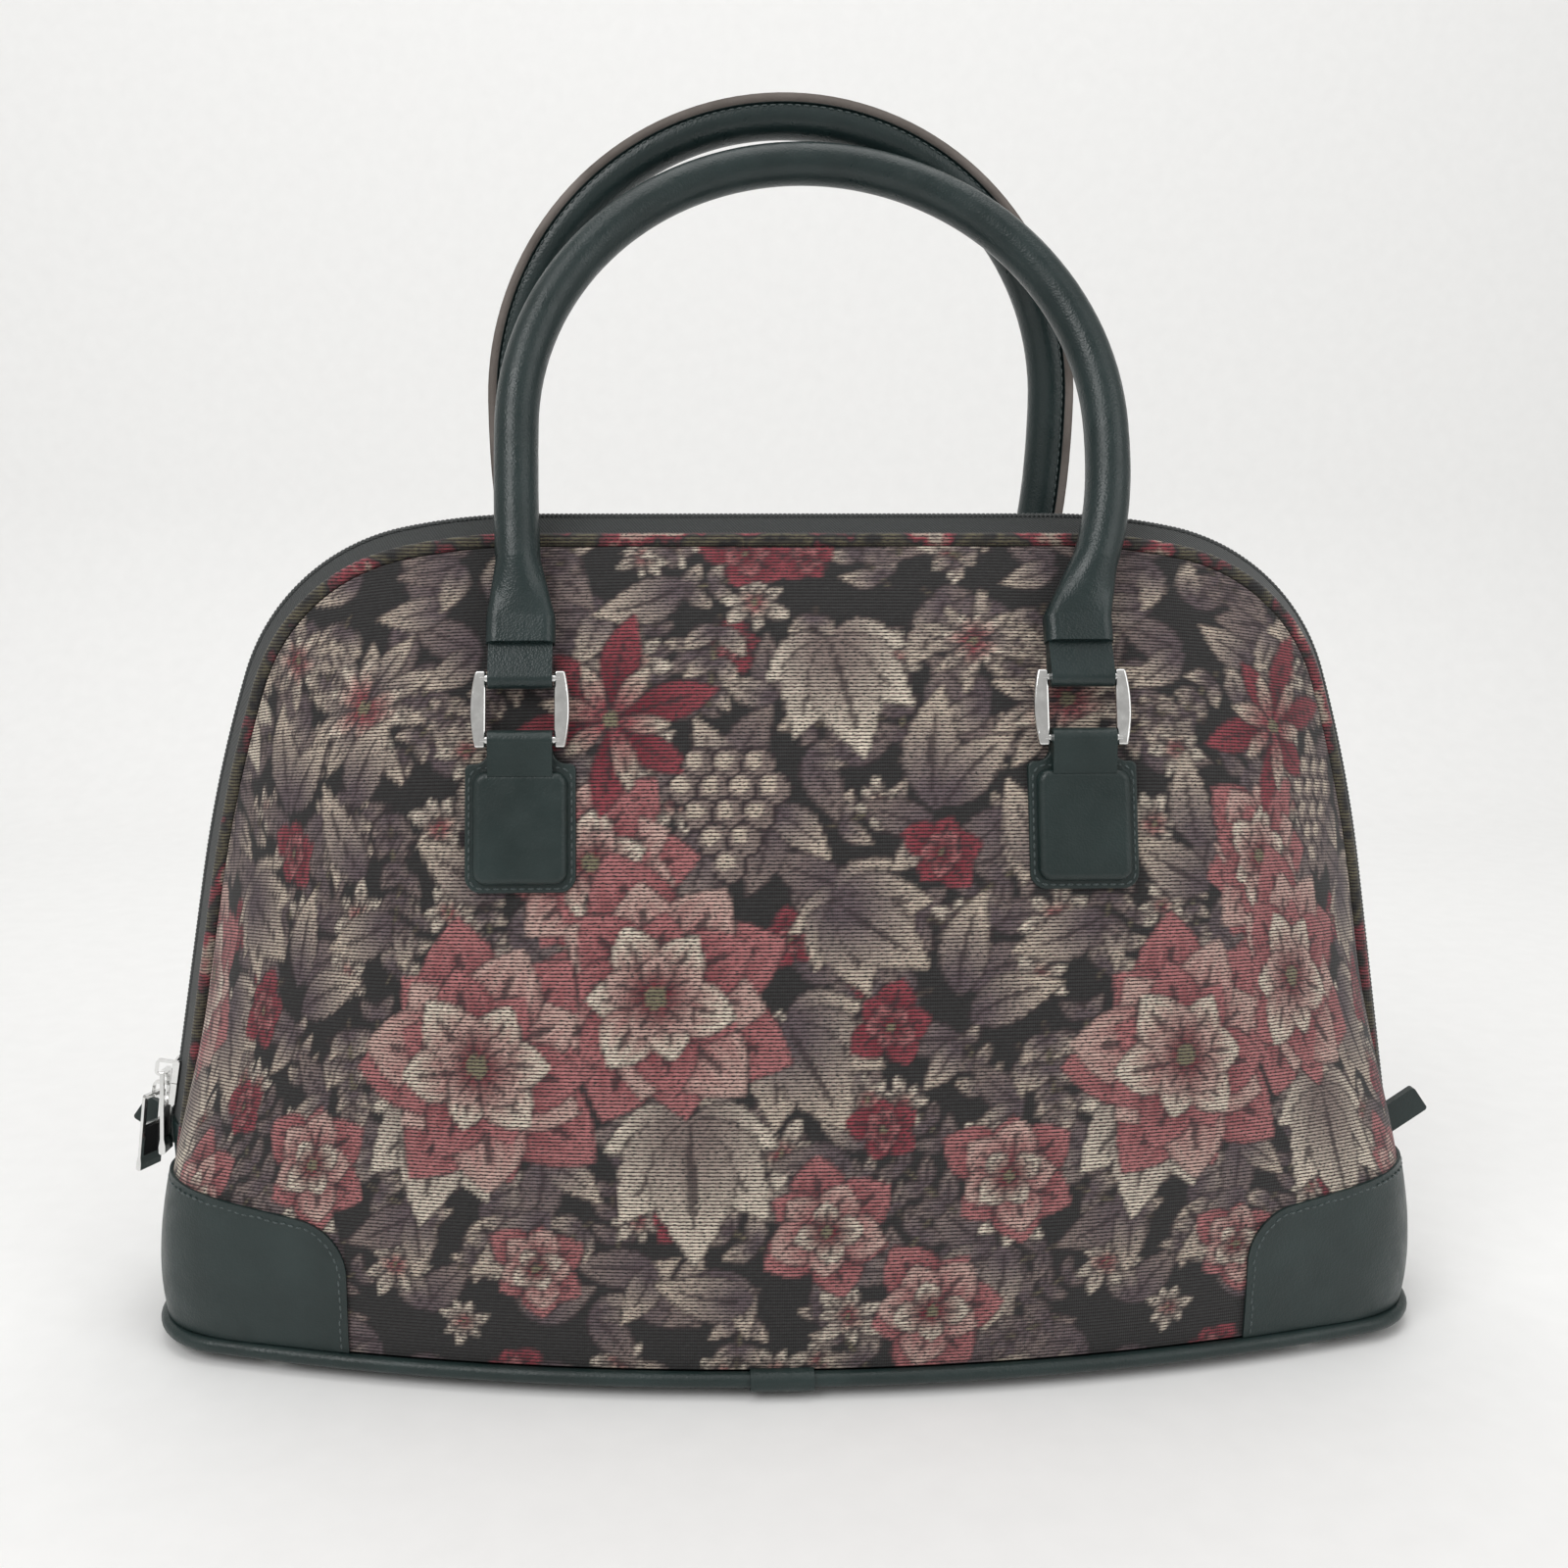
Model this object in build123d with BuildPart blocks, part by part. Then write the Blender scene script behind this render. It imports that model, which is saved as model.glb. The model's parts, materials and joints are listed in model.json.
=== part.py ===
"""Tapestry carpet bag: two domed fabric panels joined by a zip over a stiff base, with
leather corners, two rolled handles on metal links, and a pair of zip sliders.

Millimetres. X runs to the right seen from the front, Y to the back and Z up. The origin
is on the table under the middle of the bag."""

import os
from math import asin, cos, degrees, radians, sin

from build123d import *

os.makedirs("parts", exist_ok=True)

# Clearances
lay_gap = 0.3
pin_gap = 0.15
slide_gap = 0.3

# Dome seen from the front, along the crest of the zip
nose_half_length = 268.5
nose_height = 84.0
side_lean = 9.6
side_run = 107.5
hip_radius = 620.0
hip_turn = 8.3
shoulder_radius = 90.6
shoulder_turn = 60.3
crown_radius = 259.0
lower_lean = 3.0
nose_radius = 120.0

# Base seen from above, along the middle of the welt
base_half_length = 265.0
base_half_depth = 88.0
front_radius = 907.0
corner_radius = 34.0
welt_radius = 3.0
foot_height = 4.6
base_thickness = 2.4
board_thickness = 2.0
board_inset = 14.0
sleeve_length = 25.0
sleeve_wall = 1.2
sleeve_shift = -9.0

# Zip, its tapes and the piping beside them
coil_radius = 1.5
tape_thickness = 0.9
tape_top_y = 2.1
tape_top_inset = 2.4
tape_foot_y = 12.8
tape_foot_inset = 8.1
piping_radius = 3.2
piping_y = 15.6
piping_inset = 10.9

# Fabric panels
panel_thickness = 1.8
panel_tuck = 2.6
belly_swell = 6.0
belly_rise = 0.34
brow_reach = 0.66
brow_drop = 0.2
rib_count = 12
rib_points = 9

# Feet
foot_end_inset = 54.0
foot_side_inset = 36.0
foot_radius = 7.0
foot_flat = 3.4
foot_bulge = 2.2
shank_radius = 1.6
clench_radius = 5.0
clench_thickness = 0.8

# Leather corners and ends
patch_thickness = 1.3
patch_length = 84.0
patch_height = 52.0
patch_rise = 14.0
patch_rounding = 22.0
gusset_thickness = 1.8
gusset_depth = 3.2
gusset_foot_rise = 2.8
tab_width = 12.0
tab_length = 27.0
tab_thickness = 3.4
tab_rise = 35.0
tab_corner = 1.5
tab_root_x = 262.1
tab_root_z = 68.8
left_tab_shift = 8.4

# Chapes, the padded tabs that hold the links
handle_spread = 110.0
pivot_depth = 57.5
pivot_height = 257.0
chape_lean = 12.0
chape_width = 43.0
chape_foot = 59.0
chape_shoulder = 9.0
chape_corner = 6.5
shoulder_corner = 2.5
shoulder_sweep = 5.5
chape_rim_depth = 2.0
chape_rim_width = 3.2
chape_rim_corner = 0.8
chape_pad = 3.6
chape_pad_corner = 5.0
chape_pad_round = 3.0
chape_reach = 10.0
strap_width = 25.0
strap_thickness = 2.2
strap_run = 14.0

# Metal links
link_gap = 26.4
link_height = 30.0
link_bar_radius = 1.6
link_bar_spacing = 24.0
link_plate_waist = 6.0
link_plate_end = 4.2
link_thickness = 3.0
link_corner = 1.0
front_link_lean = 14.0
rear_link_lean = 7.0

# Rolled handles
handle_radius = 9.0
core_radius = 6.0
flange_thickness = 3.8
flange_side = 8.6
arch_radius = 120.5
front_arch_rise = 106.6
rear_arch_rise = 111.5
leg_start = 14.0
leg_round = 48.0
leg_share = 0.5
leg_ease = 0.7
spring_ease = 25.0
leg_end_width = 27.0
leg_end_thickness = 10.4
leg_end_corner = 4.4
socket_depth = 9.0
socket_roof = 1.5
front_handle_lean = 22.0
rear_handle_lean = 1.5
front_handle_sway = 7.5

# Sliders and pulls
slider_length = 9.6
slider_width = 8.0
slider_wall = 1.2
slider_skirt = 1.6
slider_corner = 0.5
upper_slider_run = 19.9
lower_slider_run = 10.0
crown_length = 7.6
crown_rise = 9.4
crown_wire = 1.3
crown_width = 1.6
crown_corner = 2.2
bar_seat = 1.3
pull_length = 36.0
pull_width = 11.2
pull_thickness = 1.6
pull_frame = 1.7
pull_corner = 1.2
pull_window = 12.4
label_length = 13.4
pull_foot_thickness = 2.8
pull_toe = 3.6
pull_flare = 6.6
pull_heel = 0.6
label_thickness = 0.9
label_gap = 0.1
upper_pull_out = 4.95
upper_pull_tilt = 8.0
lower_pull_out = 6.5
lower_pull_turn = 32.0
lower_pull_tilt = 10.0
lower_pull_shift = 2.7

# Places worked out from the sizes
welt_level = foot_height + welt_radius
base_top = foot_height + base_thickness
seam_level = welt_level + welt_radius + lay_gap
board_level = base_top + lay_gap
board_top = board_level + board_thickness
nose = Vector(nose_half_length, 0, nose_height)
front_turn = degrees(asin((base_half_length - corner_radius) / (front_radius - corner_radius)))
panel_inset = piping_inset + panel_tuck
panel_rim_y = piping_y + piping_radius + lay_gap
side_up = Vector(-sin(radians(side_lean)), 0, cos(radians(side_lean)))
side_out = Vector(cos(radians(side_lean)), 0, sin(radians(side_lean)))


def dome_line(inset):
    """Right half of the dome, from the nose up the side and over to the middle."""
    start = nose - side_out * inset
    side = PolarLine((start.X, start.Z), side_run, 90 + side_lean)
    hip = JernArc(side @ 1, side % 1, hip_radius - inset, hip_turn)
    shoulder = JernArc(hip @ 1, hip % 1, shoulder_radius - inset, shoulder_turn)
    crown_turn = 90 - side_lean - hip_turn - shoulder_turn
    crown = JernArc(shoulder @ 1, shoulder % 1, crown_radius - inset, crown_turn)
    Line(crown @ 1, (0, (crown @ 1).Z))
    return side


def lower_line(side, level):
    """Run from the nose down to the base, easing into a steeper lean."""
    down = (side % 0) * -1
    nose = JernArc(side @ 0, down, nose_radius, lower_lean - side_lean)
    run = ((nose @ 1).Z - level) / cos(radians(lower_lean))
    PolarLine(nose @ 1, run, direction=nose % 1)


def base_quarter(inset, end_y=0.0):
    """Right front quarter of the base outline, from the middle round to the end."""
    front = JernArc((0, inset - base_half_depth), (1, 0), front_radius - inset, front_turn)
    corner = JernArc(front @ 1, front % 1, corner_radius - inset, 90 - front_turn)
    Line(corner @ 1, ((corner @ 1).X, end_y))


def keep(part, label):
    """Name a finished piece and write it."""
    part.label = label
    export_step(part, f"parts/{label}.step")


def keep_pair(part, label):
    """Keep a right-hand piece and its mirror image on the left."""
    keep(part, f"right_{label}")
    keep(part.mirror(Plane.YZ), f"left_{label}")


def keep_four(part, label):
    """Keep a piece of the right front and its mirror images at the other three places."""
    rear = part.mirror(Plane.XZ)
    keep(part, f"front_right_{label}")
    keep(part.mirror(Plane.YZ), f"front_left_{label}")
    keep(rear, f"rear_right_{label}")
    keep(rear.mirror(Plane.YZ), f"rear_left_{label}")


def at_length(wire, share):
    return wire.position_at(share * wire.length, position_mode=PositionMode.LENGTH)


# The front panel is one bowed skin. Its ribs rise from the base seam and lean in to the
# rim beside the piping, each a Bezier curve that swells at the belly.
with BuildLine(Plane.XZ.offset(panel_rim_y)) as rim:
    dome_line(panel_inset)
with BuildLine(Plane.XY.offset(seam_level)) as seam:
    base_quarter(panel_thickness, -panel_rim_y)
rim_wire = rim.wire()
seam_wire = seam.wire()


def rib(share):
    """Points of a rib at a share of the way from the end of the bag to its middle."""
    top = at_length(rim_wire, share)
    foot = at_length(seam_wire, 1 - share)
    along = seam_wire.tangent_at((1 - share) * seam_wire.length, position_mode=PositionMode.LENGTH)
    outward = Vector(along.Y, -along.X, 0)
    rise = top.Z - foot.Z
    spread = Vector(foot.X - top.X, foot.Y - top.Y, 0)
    belly = foot + Vector(0, 0, belly_rise * rise) + outward * belly_swell
    brow = top + spread * brow_reach - Vector(0, 0, brow_drop * rise)
    points = []
    for step in range(rib_points):
        t = step / (rib_points - 1)
        s = 1 - t
        lower = foot * s**3 + belly * (3 * t * s**2)
        points.append(lower + brow * (3 * t**2 * s) + top * t**3)
    return points


def left_of(points):
    return [Vector(-point.X, point.Y, point.Z) for point in points]


right_ribs = [rib(step / rib_count) for step in range(rib_count + 1)]
ribs = [left_of(points) for points in right_ribs] + right_ribs[-2::-1]
panel_skin = Face.make_surface_from_array_of_points(
    ribs, tol=0.1, smoothing=(1, 1, 1), min_deg=3, max_deg=5
)


def raised_skin(height):
    """The panel's skin moved outward by a height."""
    return Solid.thicken(panel_skin, height).faces().sort_by(SortBy.AREA)[-1]


with BuildPart() as front_panel:
    thicken(panel_skin, amount=-panel_thickness)
keep(front_panel.part, "front_panel")

with BuildPart() as rear_panel:
    mirror(front_panel.part, about=Plane.XZ)
keep(rear_panel.part, "rear_panel")


# Piping, tapes and coil follow the dome. Each is one section carried along it.
with BuildLine(Plane.XZ) as crest:
    dome_line(0)
    mirror(about=Plane.YZ)
crest_wire = crest.wire()
crest_height = crest_wire.bounding_box().max.Z
crest_section = Plane(origin=(0, 0, crest_height), x_dir=(0, 1, 0), z_dir=(1, 0, 0))

with BuildPart() as front_piping:
    with BuildLine(Plane.XZ.offset(piping_y)) as piping_path:
        lower_line(dome_line(piping_inset), seam_level + lay_gap)
        mirror(about=Plane.YZ)
    with BuildSketch(crest_section):
        with Locations((-piping_y, -piping_inset)):
            Circle(piping_radius)
    sweep(path=piping_path.wire())
keep(front_piping.part, "front_piping")

with BuildPart() as rear_piping:
    mirror(front_piping.part, about=Plane.XZ)
keep(rear_piping.part, "rear_piping")

with BuildPart() as front_zip_tape:
    with BuildSketch(crest_section):
        with BuildLine():
            Line((-tape_top_y, -tape_top_inset), (-tape_foot_y, -tape_foot_inset))
            offset(amount=tape_thickness / 2, kind=Kind.INTERSECTION, side=Side.BOTH)
        make_face()
    sweep(path=crest_wire)
keep(front_zip_tape.part, "front_zip_tape")

with BuildPart() as rear_zip_tape:
    mirror(front_zip_tape.part, about=Plane.XZ)
keep(rear_zip_tape.part, "rear_zip_tape")

with BuildPart() as zip_coil:
    with BuildSketch(crest_section):
        with Locations((0, -coil_radius)):
            Circle(coil_radius)
    sweep(path=crest_wire)
keep(zip_coil.part, "zip_coil")


# End gussets, leather arches from the base up to the ends of the zip
nose_frame = Plane(origin=nose - side_up * lay_gap, x_dir=(0, 1, 0), z_dir=side_up)
foot_frame = Plane(origin=(base_half_length, 0, seam_level), x_dir=(0, 1, 0), z_dir=(0, 0, 1))


def end_form(shrink, depth):
    """Solid arch under the outer face of the right end gusset, smaller by a wall."""
    half = piping_y - piping_radius - lay_gap - shrink
    nose_crest = coil_radius / 2 + shrink
    with BuildPart() as form:
        for frame, crest_inset, spring in (
            (foot_frame, shrink, gusset_foot_rise),
            (nose_frame, nose_crest, piping_inset),
        ):
            with BuildSketch(frame):
                with BuildLine():
                    ThreePointArc((-half, spring), (0, crest_inset), (half, spring))
                    Polyline((half, spring), (half, spring + depth), (-half, spring + depth), (-half, spring))
                make_face()
        loft()
    return form.part


with BuildPart() as end_gusset:
    add(end_form(0, gusset_depth))
    add(end_form(gusset_thickness, gusset_depth * 2), mode=Mode.SUBTRACT)
keep_pair(end_gusset.part, "end_gusset")


# Zip end tabs. The left one is pushed back by the pulls that hang beside it.
def end_tab(shift):
    """Strip at the right end, rising outward from the crest of the gusset."""
    with BuildPart() as tab:
        with BuildSketch(Plane.XZ.offset(-shift)):
            with Locations(Location((tab_root_x, tab_root_z), tab_rise)):
                with Locations((tab_length / 2, 0)):
                    RectangleRounded(tab_length, tab_width, tab_corner)
        extrude(amount=tab_thickness / 2, both=True)
        add(end_form(-lay_gap, gusset_depth * 4), mode=Mode.SUBTRACT)
    return tab.part


keep(end_tab(0), "right_zip_end_tab")
keep(end_tab(left_tab_shift).mirror(Plane.YZ), "left_zip_end_tab")


# Corner patches lie over the fabric at the four bottom corners
with BuildPart() as corner_patch:
    add(Solid.thicken(raised_skin(lay_gap), patch_thickness))
    with BuildSketch(Plane.XZ.offset(panel_rim_y)):
        inner = base_half_length - patch_length
        outer = nose_half_length + patch_rounding
        shoulder = seam_level + patch_height
        with BuildLine():
            FilletPolyline(
                (inner, seam_level), (inner, shoulder), (outer, shoulder + patch_rise), radius=patch_rounding
            )
            Polyline((outer, shoulder + patch_rise), (outer, seam_level), (inner, seam_level))
        make_face()
    extrude(amount=base_half_depth * 2, mode=Mode.INTERSECT)
keep_four(corner_patch.part, "corner_patch")


# Base, with a stiff board inside it, a welt round its edge and four feet
foot_spread = base_half_length - foot_end_inset
foot_depth = base_half_depth - foot_side_inset
foot_places = GridLocations(foot_spread * 2, foot_depth * 2, 2, 2)


def base_slab(inset, level, thickness):
    """Slab of the base outline, pierced for the shanks of the feet."""
    with BuildPart() as slab:
        with BuildSketch(Plane.XY.offset(level)):
            with BuildLine():
                base_quarter(inset)
                mirror(about=Plane.XZ)
                mirror(about=Plane.YZ)
            make_face()
            with foot_places:
                Circle(shank_radius + pin_gap, mode=Mode.SUBTRACT)
        extrude(amount=thickness)
    return slab.part


keep(base_slab(welt_radius + lay_gap, foot_height, base_thickness), "base_panel")
keep(base_slab(board_inset, board_level, board_thickness), "base_board")

with BuildPart() as base_welt:
    with BuildLine(Plane.XY.offset(welt_level)) as welt_path:
        base_quarter(0)
        mirror(about=Plane.XZ)
        mirror(about=Plane.YZ)
    welt_wire = welt_path.wire()
    with BuildSketch(Plane(origin=welt_wire @ 0, z_dir=welt_wire % 0)):
        Circle(welt_radius)
    sweep(path=welt_wire)
keep(base_welt.part, "base_welt")

with BuildPart() as welt_sleeve:
    sleeve_radius = welt_radius + pin_gap + sleeve_wall
    sleeve_place = (sleeve_shift, -base_half_depth, welt_level)
    with BuildSketch(Plane(origin=sleeve_place, x_dir=(0, 1, 0), z_dir=(1, 0, 0))):
        Circle(sleeve_radius)
        Circle(welt_radius + pin_gap, mode=Mode.SUBTRACT)
        with Locations((sleeve_radius + sleeve_wall, 0)):
            Rectangle(sleeve_radius * 2, sleeve_radius * 2, mode=Mode.SUBTRACT)
    extrude(amount=sleeve_length / 2, both=True)
keep(welt_sleeve.part, "welt_sleeve")

with BuildPart() as foot:
    with BuildSketch(Plane.XZ):
        with BuildLine():
            Polyline((0, foot_height), (0, 0), (foot_flat, 0))
            ThreePointArc(
                (foot_flat, 0), (foot_radius - foot_bulge / 2, foot_bulge / 2), (foot_radius, foot_height)
            )
            Line((foot_radius, foot_height), (0, foot_height))
        make_face()
        with Locations((shank_radius / 2, foot_height)):
            Rectangle(shank_radius, board_top - foot_height, align=(Align.CENTER, Align.MIN))
        with Locations((clench_radius / 2, board_top)):
            Rectangle(clench_radius, clench_thickness, align=(Align.CENTER, Align.MIN))
    revolve(axis=Axis.Z)
keep_four(foot.part.moved(Location((foot_spread, -foot_depth, 0))), "foot")


# Planes of the straps and links, which lean back from their pivots
def face_plane(origin, lean):
    """Plane seen from the front: x to the right, y up, z out from the bag."""
    return Plane(origin=origin, x_dir=(1, 0, 0), z_dir=(0, -cos(radians(lean)), sin(radians(lean))))


def side_plane(origin, lean):
    """Plane seen from the end: x out from the bag, y up."""
    return Plane(origin=origin, x_dir=(0, -cos(radians(lean)), sin(radians(lean))), z_dir=(-1, 0, 0))


pivot = Vector(handle_spread, -pivot_depth, pivot_height)
fold_inner = link_bar_radius + pin_gap
fold_outer = fold_inner + strap_thickness
strap_pinch = strap_thickness + pin_gap


def fold_profile(front, back, run):
    """Face of a strap folded round a bar, from the bar to the end of its two layers."""
    Polygon((-fold_outer, 0), (fold_outer, 0), (front, run), (back, run), align=None)
    Circle(fold_outer)
    Circle(fold_inner, mode=Mode.SUBTRACT)


# Chapes: a flat rim, a rounded pad on it and a strap that folds round the link's bar
chape_face = face_plane(pivot, chape_lean).offset(-chape_rim_depth)
chape_out = Axis(origin=chape_face.origin, direction=chape_face.z_dir)
pad_height = chape_foot - chape_shoulder - chape_rim_width * 2
pad_middle = -(chape_foot + chape_shoulder) / 2

with BuildPart() as chape_cushion:
    with BuildSketch(chape_face):
        with Locations((0, pad_middle)):
            RectangleRounded(chape_width - chape_rim_width * 2, pad_height, chape_pad_corner)
    extrude(amount=chape_pad)
    fillet(chape_cushion.faces().sort_by(chape_out)[-1].edges(), chape_pad_round)

with BuildPart() as chape:
    with BuildSketch(chape_face):
        with BuildLine():
            FilletPolyline(
                (0, -chape_foot),
                (chape_width / 2, -chape_foot),
                (chape_width / 2, -chape_shoulder),
                (strap_width / 2, -chape_shoulder),
                (strap_width / 2, -fold_inner),
                radius=[chape_corner, shoulder_corner, shoulder_sweep],
            )
            Line((strap_width / 2, -fold_inner), (0, -fold_inner))
            mirror(about=Plane.YZ)
        make_face()
    extrude(amount=-chape_reach)
    fillet(chape.faces().sort_by(chape_out)[-1].edges(), chape_rim_corner)
    add(chape_cushion.part)
    with BuildSketch(side_plane(pivot, chape_lean)):
        fold_profile(chape_pad - chape_rim_depth, -fold_outer, -strap_run)
    extrude(amount=strap_width / 2, both=True)
    with BuildSketch(side_plane(pivot, chape_lean)):
        Circle(fold_inner)
    extrude(amount=chape_width, both=True, mode=Mode.SUBTRACT)
    add(Solid.thicken(raised_skin(lay_gap), chape_width), mode=Mode.INTERSECT)
keep_four(chape.part, "chape")


# Links: two D-shaped side plates joined by a bar below and a bar above
def build_link(lean):
    """Link at the right front, leaning back from its lower bar."""
    low = (link_bar_spacing - link_height) / 2
    high = low + link_height
    inner = link_gap / 2
    with BuildPart() as link:
        with BuildSketch(face_plane(pivot, lean)):
            with BuildLine():
                Polyline(
                    (inner + link_plate_end, low), (inner, low), (inner, high), (inner + link_plate_end, high)
                )
                ThreePointArc(
                    (inner + link_plate_end, high),
                    (inner + link_plate_waist, link_bar_spacing / 2),
                    (inner + link_plate_end, low),
                )
            make_face()
            mirror(about=Plane.YZ)
        extrude(amount=link_thickness / 2, both=True)
        fillet(link.edges(), link_corner)
        with BuildSketch(side_plane(pivot, lean)):
            with Locations((0, 0), (0, link_bar_spacing)):
                Circle(link_bar_radius)
        extrude(amount=inner + link_plate_end / 2, both=True)
    return link.part


front_link = build_link(front_link_lean)
keep(front_link, "front_right_link")
keep(front_link.mirror(Plane.YZ), "front_left_link")
rear_link = build_link(rear_link_lean).mirror(Plane.XZ)
keep(rear_link, "rear_right_link")
keep(rear_link.mirror(Plane.YZ), "rear_left_link")


# Handles: a leather cover rolled round a core, its edges meeting in a flange at the outer
# rim, its legs flattened into sockets for the loops that hang on the upper bars
class Handle:
    """Handle of the front, in a plane that leans back from the upper bars."""

    def __init__(self, lean, link_lean, rise, sway):
        bar = side_plane(Vector(0, -pivot_depth, pivot_height), link_lean).from_local_coords(
            Vector(0, link_bar_spacing, 0)
        )
        self.lean = lean
        self.rise = rise
        self.sway = sway
        self.plane = face_plane(bar, lean)
        right = self.leg(1)
        left = self.leg(-1)
        with BuildLine() as path:
            Bezier(*right)
            ThreePointArc(right[-1], self.at(sway, rise + arch_radius), left[-1])
            Bezier(*left[::-1])
        self.path = path.wire()
        self.toward_bag = self.plane.z_dir * -1
        tangent = self.path % 0
        self.start = Plane(origin=self.path @ 0, x_dir=self.toward_bag.cross(tangent), z_dir=tangent)

    def at(self, x, y):
        return self.plane.from_local_coords(Vector(x, y, 0))

    def leg(self, side):
        """Corners of the curve of a leg, from its flat end up to the spring of the arch."""
        foot_x = side * handle_spread
        spring_x = side * arch_radius + self.sway
        flat_top = leg_start + socket_depth + socket_roof
        round_x = foot_x + (spring_x - foot_x) * leg_share
        ease_x = round_x + (round_x - foot_x) * leg_ease
        ease_y = leg_round + (leg_round - flat_top) * leg_ease
        return [
            self.at(round_x, leg_round),
            self.at(ease_x, ease_y),
            self.at(spring_x, self.rise - spring_ease),
            self.at(spring_x, self.rise),
        ]

    def level(self, side, height):
        """Plane across a leg: x to the right, y toward the bag."""
        return Plane(
            origin=self.at(side * handle_spread, height), x_dir=(1, 0, 0), z_dir=self.plane.y_dir
        )

    def leg_end(self, side):
        """Flattened end of a leg with the socket for its loop."""
        share = 0 if side > 0 else 1
        tangent = (self.path % share) * side
        across = self.toward_bag.cross(tangent)
        flat_top = leg_start + socket_depth + socket_roof
        with BuildPart() as end:
            with BuildSketch(self.level(side, leg_start)):
                RectangleRounded(leg_end_width, leg_end_thickness, leg_end_corner)
            extrude(amount=flat_top - leg_start)
            with BuildSketch(self.level(side, leg_start)):
                Rectangle(strap_width + pin_gap * 2, strap_pinch * 2 + pin_gap * 2)
            extrude(amount=socket_depth, mode=Mode.SUBTRACT)
            with BuildSketch(self.level(side, flat_top)):
                RectangleRounded(leg_end_width, leg_end_thickness, leg_end_corner)
            with BuildSketch(Plane(origin=self.path @ share, x_dir=across, z_dir=tangent)):
                Circle(handle_radius)
            loft()
        return end.part

    def cover(self):
        with BuildPart() as cover:
            with BuildSketch(self.start):
                Circle(handle_radius)
                with Locations((handle_radius, 0)):
                    Rectangle(flange_thickness, flange_side, align=(Align.MAX, Align.MIN))
                Circle(core_radius + pin_gap, mode=Mode.SUBTRACT)
            sweep(path=self.path)
            add(self.leg_end(1))
            add(self.leg_end(-1))
        return cover.part

    def core(self):
        with BuildPart() as core:
            with BuildSketch(self.start):
                Circle(core_radius)
            sweep(path=self.path)
        return core.part

    def loop(self, side):
        """Strap folded round an upper bar, with both layers in the socket."""
        with BuildPart() as loop:
            with BuildSketch(side_plane(self.at(side * handle_spread, 0), self.lean)):
                fold_profile(strap_pinch, -strap_pinch, leg_start)
                with Locations((0, leg_start)):
                    Rectangle(strap_pinch * 2, socket_depth - lay_gap, align=(Align.CENTER, Align.MIN))
            extrude(amount=strap_width / 2, both=True)
        return loop.part


front_handle = Handle(front_handle_lean, front_link_lean, front_arch_rise, front_handle_sway)
keep(front_handle.cover(), "front_handle_cover")
keep(front_handle.core(), "front_handle_core")
keep(front_handle.loop(1), "front_right_loop")
keep(front_handle.loop(-1), "front_left_loop")

rear_handle = Handle(rear_handle_lean, rear_link_lean, rear_arch_rise, 0)
keep(rear_handle.cover().mirror(Plane.XZ), "rear_handle_cover")
keep(rear_handle.core().mirror(Plane.XZ), "rear_handle_core")
keep(rear_handle.loop(1).mirror(Plane.XZ), "rear_right_loop")
keep(rear_handle.loop(-1).mirror(Plane.XZ), "rear_left_loop")


# Sliders, parked one above the other at the left end of the zip, each with a crown that
# its pull hangs from. They are drawn at the right end and mirrored.
def build_slider(run):
    """Saddle over the coil with a crown on it, at a run up the side from the nose."""
    seat = nose + side_up * run
    with BuildPart() as slider:
        with BuildSketch(Plane(origin=seat, x_dir=(0, 1, 0), z_dir=side_up)):
            with Locations((0, -slide_gap - slider_wall)):
                Rectangle(
                    slider_width,
                    slide_gap + slider_wall + slider_skirt,
                    align=(Align.CENTER, Align.MIN),
                )
            with Locations((0, -slide_gap)):
                Rectangle(
                    (coil_radius + slide_gap) * 2,
                    slide_gap + slider_skirt,
                    align=(Align.CENTER, Align.MIN),
                    mode=Mode.SUBTRACT,
                )
        extrude(amount=slider_length / 2, both=True)
        fillet(slider.faces().sort_by(Axis(origin=seat, direction=side_out))[-1].edges(), slider_corner)
        with BuildSketch(Plane(origin=seat, x_dir=side_up, z_dir=(0, 1, 0))):
            saddle_top = slide_gap + slider_wall
            with Locations((0, crown_rise)):
                RectangleRounded(
                    crown_length, crown_rise - slide_gap, crown_corner, align=(Align.CENTER, Align.MAX)
                )
            with Locations((0, crown_rise - crown_wire)):
                Rectangle(
                    crown_length - crown_wire * 2,
                    crown_rise - crown_wire - saddle_top,
                    align=(Align.CENTER, Align.MAX),
                    mode=Mode.SUBTRACT,
                )
        extrude(amount=crown_width / 2, both=True)
    return slider.part


keep(build_slider(upper_slider_run).mirror(Plane.YZ), "upper_slider")
keep(build_slider(lower_slider_run).mirror(Plane.YZ), "lower_slider")


def bar_place(run, out):
    """Middle of a pull's bar, in the lower end of a crown at the left end of the zip."""
    drop = crown_length / 2 - crown_wire - bar_seat
    place = nose + side_up * (run - drop) + side_out * out
    return Vector(-place.X, 0, place.Z)


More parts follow.
